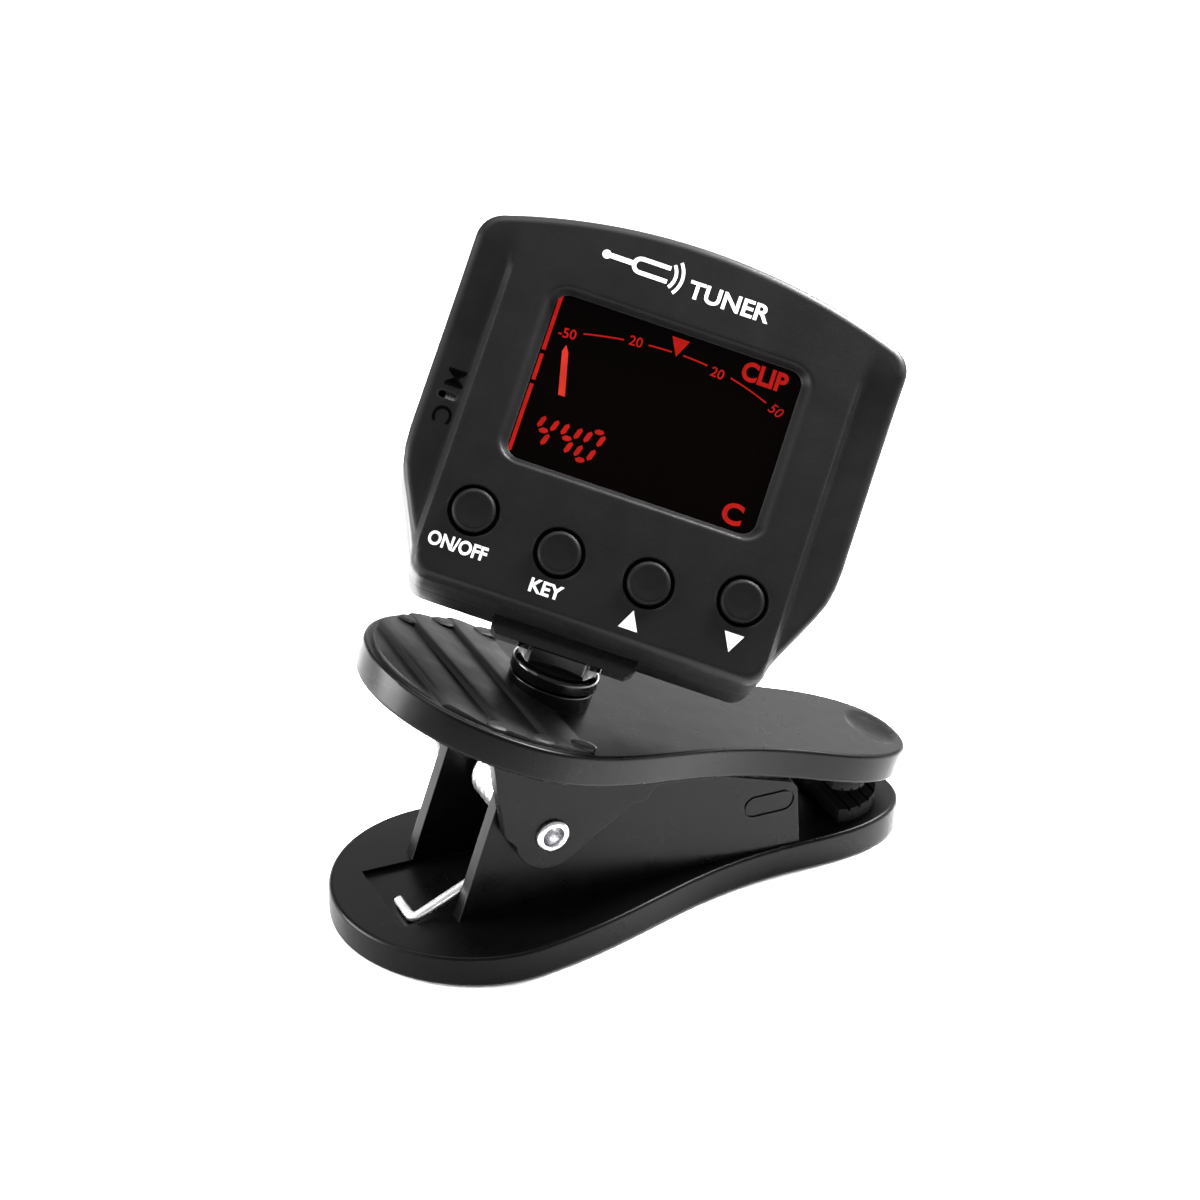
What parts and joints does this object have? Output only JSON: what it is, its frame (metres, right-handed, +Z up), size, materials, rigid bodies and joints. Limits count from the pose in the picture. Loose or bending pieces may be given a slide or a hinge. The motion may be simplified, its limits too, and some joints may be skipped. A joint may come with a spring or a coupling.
{
  "type": "clip-on instrument tuner",
  "caption": "Clip-on tuner: a black sprung clip with a ribbed grip carries a swivelling, tilting head with a lit red display and a row of round push buttons.",
  "frame": {"origin": "centre of the lower jaw's round grip end, on its flat underside", "axes": "+X along the clip from grip to nose, +Y across it, away from the face of the display, +Z up from the floor"},
  "size_m": [0.0595, 0.0431, 0.0633],
  "materials": {
    "clip_plastic": "satin",
    "head_plastic": "satin",
    "button_rubber": "satin",
    "gloss_black": "glossy",
    "pad_rubber": "matte",
    "bright_steel": "satin",
    "spring_steel": "glossy",
    "contact_brass": "satin",
    "window_lens": "glossy",
    "display_glass": "glossy",
    "white_plastic": "matte",
    "board_green": "satin",
    "chip_black": "matte"
  },
  "bodies": {
    "lower_body": {"lower_jaw": "clip_plastic", "pivot_pin": "bright_steel", "torsion_spring": "spring_steel", "lower_pad": "pad_rubber"},
    "upper_body": {"upper_jaw": "clip_plastic", "upper_pad": "pad_rubber", "post": "gloss_black"},
    "turret_body": {"swivel_turret": "gloss_black", "swivel_screw": "bright_steel", "friction_washer": "spring_steel"},
    "head_body": {"hinge_block": "gloss_black", "tilt_pin": "bright_steel", "front_shell": "head_plastic", "rear_shell": "head_plastic", "case_screws": "bright_steel", "display_window": "window_lens", "lcd_panel": "display_glass", "light_guide": "white_plastic", "lcd_holder": "white_plastic", "zebra_strips": "pad_rubber", "circuit_board": "board_green", "driver_chip": "chip_black", "tact_switches": "bright_steel", "microphone": "bright_steel", "piezo_disc": "contact_brass", "coin_cell": "bright_steel", "contact_plus": "contact_brass", "contact_minus": "contact_brass"},
    "door_body": {"battery_door": "head_plastic"},
    "button_power_body": {"button_power": "button_rubber"},
    "button_key_body": {"button_key": "button_rubber"},
    "button_up_body": {"button_up": "button_rubber"},
    "button_down_body": {"button_down": "button_rubber"}
  },
  "joints": [
    {"name": "clip_hinge", "type": "hinge", "parent": "lower_body", "child": "upper_body", "pos_m": [0.00454, 0, 0.01175], "axis": [0, -1, 0], "range_deg": [0, 30], "stiffness_Nm_per_rad": 0.12, "springref_deg": -57.3, "deforming": ["torsion_spring"]},
    {"name": "head_swivel", "type": "hinge", "parent": "upper_body", "child": "turret_body", "pos_m": [0.00766, 0, 0.02184], "axis": [0.3219, 0, 0.9468], "continuous": true},
    {"name": "head_tilt", "type": "hinge", "parent": "turret_body", "child": "head_body", "pos_m": [0.00923, 0, 0.02648], "axis": [-0.8081, 0.521, 0.2748], "range_deg": [-28, 44]},
    {"name": "battery_door_slide", "type": "slide", "parent": "head_body", "child": "door_body", "axis": [0.5195, 0.4104, 0.7495], "range_m": [0, 0.02]},
    {"name": "button_power_press", "type": "slide", "parent": "head_body", "child": "button_power_body", "axis": [0.2777, 0.7484, -0.6023], "range_m": [0, 0.0005], "stiffness_N_per_m": 1500, "springref_m": -0.0004},
    {"name": "button_key_press", "type": "slide", "parent": "head_body", "child": "button_key_body", "axis": [0.2777, 0.7484, -0.6023], "range_m": [0, 0.0005], "stiffness_N_per_m": 1500, "springref_m": -0.0004},
    {"name": "button_up_press", "type": "slide", "parent": "head_body", "child": "button_up_body", "axis": [0.2777, 0.7484, -0.6023], "range_m": [0, 0.0005], "stiffness_N_per_m": 1500, "springref_m": -0.0004},
    {"name": "button_down_press", "type": "slide", "parent": "head_body", "child": "button_down_body", "axis": [0.2777, 0.7484, -0.6023], "range_m": [0, 0.0005], "stiffness_N_per_m": 1500, "springref_m": -0.0004}
  ]
}
